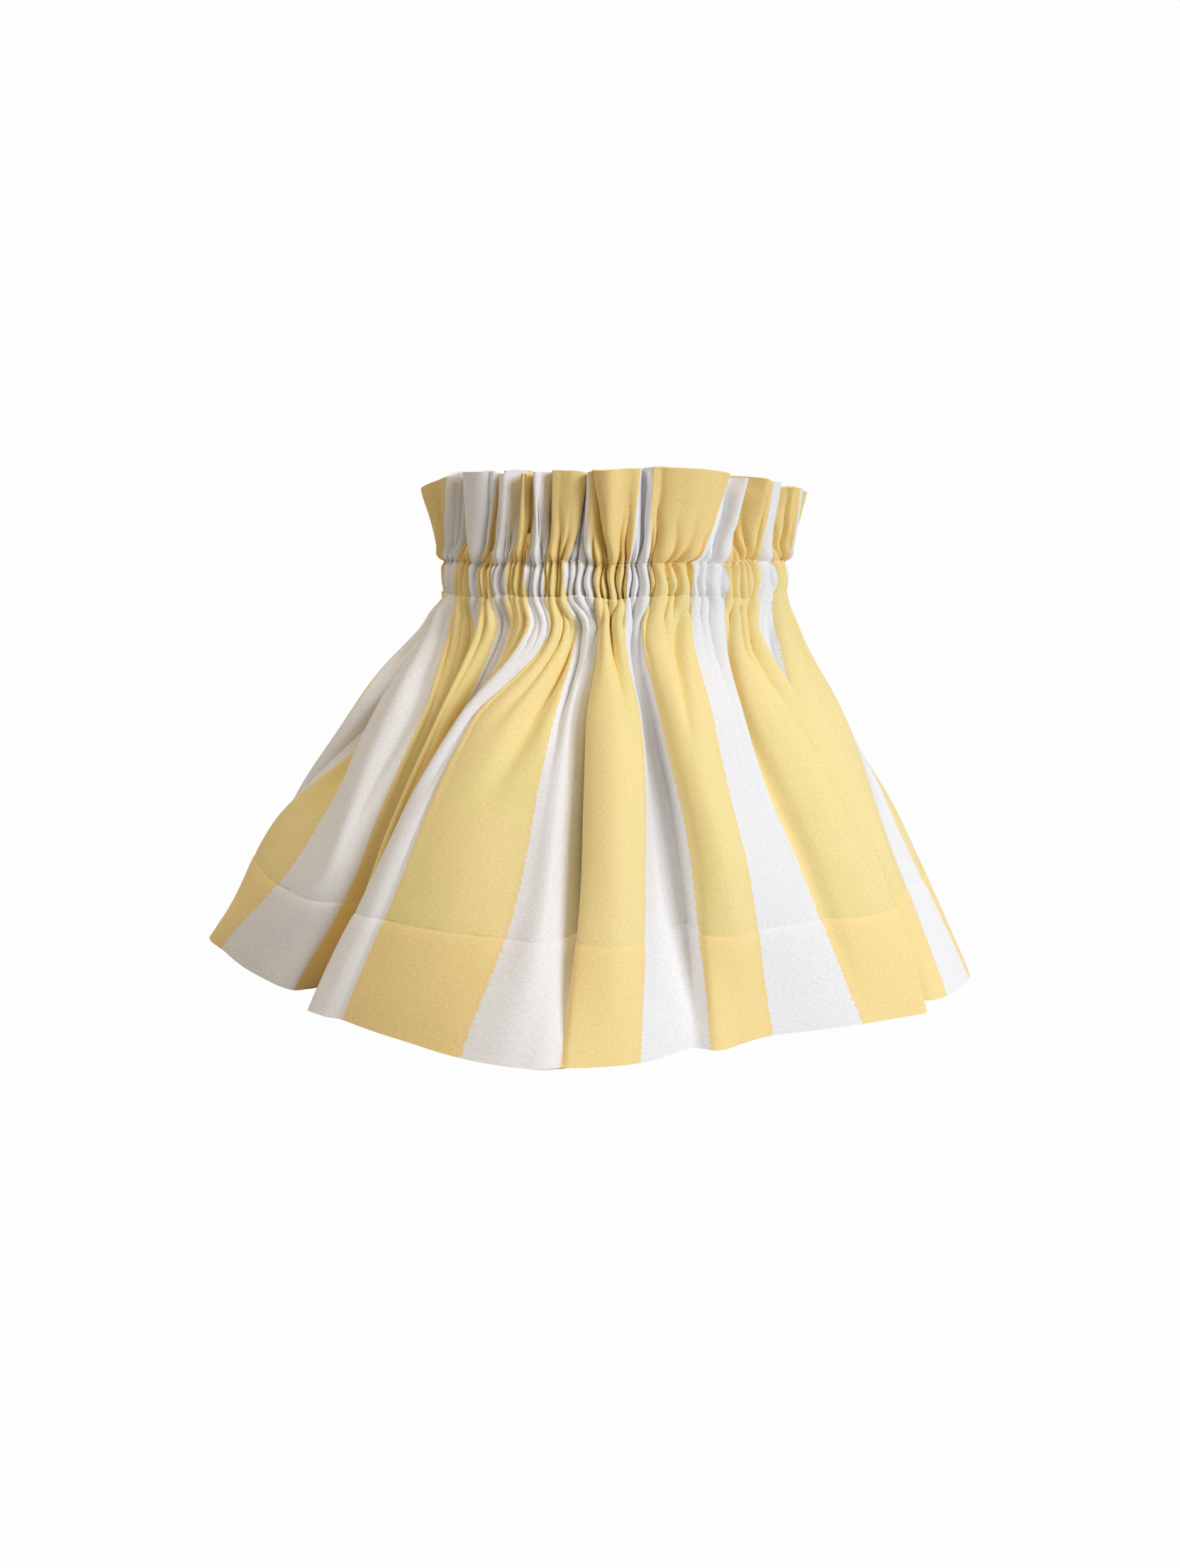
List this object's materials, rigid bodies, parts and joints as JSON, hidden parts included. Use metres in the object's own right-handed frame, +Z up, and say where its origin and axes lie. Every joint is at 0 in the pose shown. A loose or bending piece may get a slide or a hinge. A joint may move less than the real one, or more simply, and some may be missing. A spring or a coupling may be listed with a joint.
{
  "type": "lampshade",
  "caption": "Gathered striped-cotton lampshade: a slip-on cover with frill, elastic casing and flared skirt over a wire frame with a reversible gimbal fitter.",
  "frame": {"origin": "middle of the hem's box in plan, on the surface that the frame's bottom ring stands on", "axes": "+Z up along the shade's axis, +X to the right and -Y towards the pictured side"},
  "size_m": [0.2504, 0.2522, 0.1494],
  "materials": {
    "striped_cotton": "brushed cotton, pale yellow and off-white stripes",
    "cotton_thread": "matt spun thread",
    "woven_elastic": "woven white elastic",
    "coated_steel": "white powder coat"
  },
  "bodies": {
    "frame": {"top_ring": "coated_steel", "bottom_ring": "coated_steel", "strut_1": "coated_steel", "strut_2": "coated_steel", "strut_3": "coated_steel", "strut_4": "coated_steel", "strut_5": "coated_steel", "strut_6": "coated_steel", "lug_left": "coated_steel", "lug_right": "coated_steel", "rivet_left": "coated_steel", "rivet_right": "coated_steel"},
    "gimbal": {"arm_left": "coated_steel", "arm_right": "coated_steel", "fitter_ring": "coated_steel"},
    "cover": {"frill": "striped_cotton", "casing": "striped_cotton", "casing_facing": "striped_cotton", "elastic_band": "woven_elastic", "skirt": "striped_cotton", "hem_facing": "striped_cotton", "back_seam": "striped_cotton", "upper_stitch_row": "cotton_thread", "lower_stitch_row": "cotton_thread", "hem_stitch_row": "cotton_thread"}
  },
  "joints": [
    {"name": "cover_lift", "type": "slide", "parent": "frame", "child": "cover", "axis": [0, 0, 1], "range_m": [0, 0.16]},
    {"name": "gimbal_tilt", "type": "hinge", "parent": "frame", "child": "gimbal", "pos_m": [0.0095, 0.0001, 0.11155], "axis": [1, 0, 0], "range_deg": [0, 180]}
  ]
}
